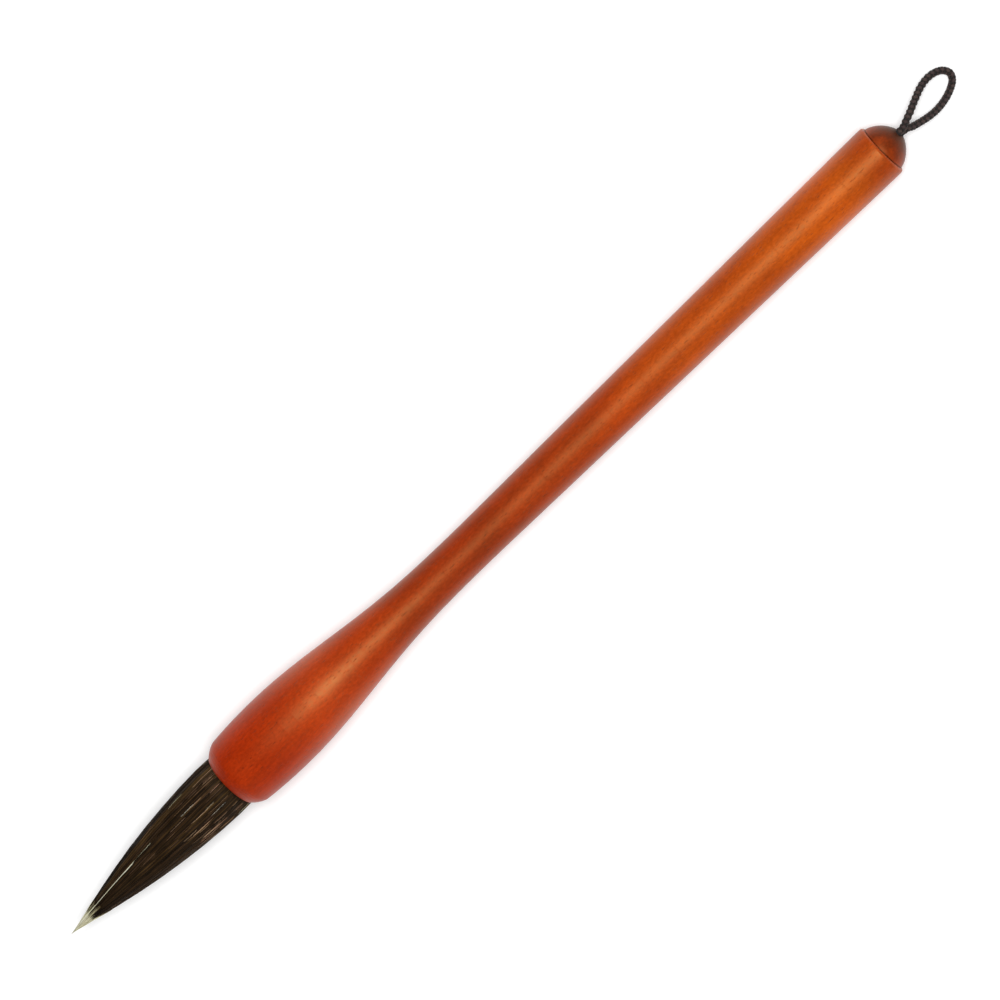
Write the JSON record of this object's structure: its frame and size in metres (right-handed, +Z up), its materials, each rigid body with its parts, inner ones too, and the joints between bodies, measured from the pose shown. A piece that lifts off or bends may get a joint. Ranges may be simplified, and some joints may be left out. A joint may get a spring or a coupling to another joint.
{
  "type": "calligraphy brush",
  "caption": "Turned wooden writing brush with a swelling grip, a pointed tuft of dark hair with a pale tip, and a braided hanging loop.",
  "frame": {"origin": "on the desk, under the middle of the brush's length, the hanging loop not counted", "axes": "+Z up; the brush lies along X with the end cap toward +X and the hair tip toward -X"},
  "size_m": [0.3327, 0.0226, 0.0226],
  "materials": {
    "lacquered_wood": "red-brown stained wood under satin lacquer",
    "dark_wood": "dark stained wood under satin lacquer",
    "cord": "near-black brown braided cord",
    "pale_hair": "pale cream animal hair, fine and glossy",
    "core_hair": "mid-brown animal hair",
    "coat_hair": "dark brown animal hair with reddish and golden strands",
    "thread": "undyed binding thread",
    "rosin": "dark set rosin",
    "glue": "amber set glue"
  },
  "bodies": {
    "handle": {"handle": "lacquered_wood", "end_cap": "dark_wood", "loop_end_upper": "cord", "loop_end_lower": "cord", "loop_knot": "cord", "core_root": "core_hair", "coat_root": "coat_hair", "core_binding": "thread", "root_binding_front": "thread", "root_binding_rear": "thread", "root_seal": "rosin", "socket_glue": "glue"},
    "tuft": {"life_hair": "pale_hair", "throat_hair": "core_hair", "belly_hair": "core_hair", "waist_hair": "core_hair", "coat_hair": "coat_hair"},
    "loop": {"hanging_loop": "cord"}
  },
  "joints": [
    {"name": "tuft_flex", "type": "hinge", "parent": "handle", "child": "tuft", "pos_m": [-0.11512, 0, 0.01188], "axis": [0, 0, 1], "range_deg": [-50, 50], "stiffness_Nm_per_rad": 0.012},
    {"name": "loop_swing", "type": "hinge", "parent": "handle", "child": "loop", "pos_m": [0.15738, 0, 0.00769], "axis": [0, 0, 1], "range_deg": [-75, 75]}
  ]
}
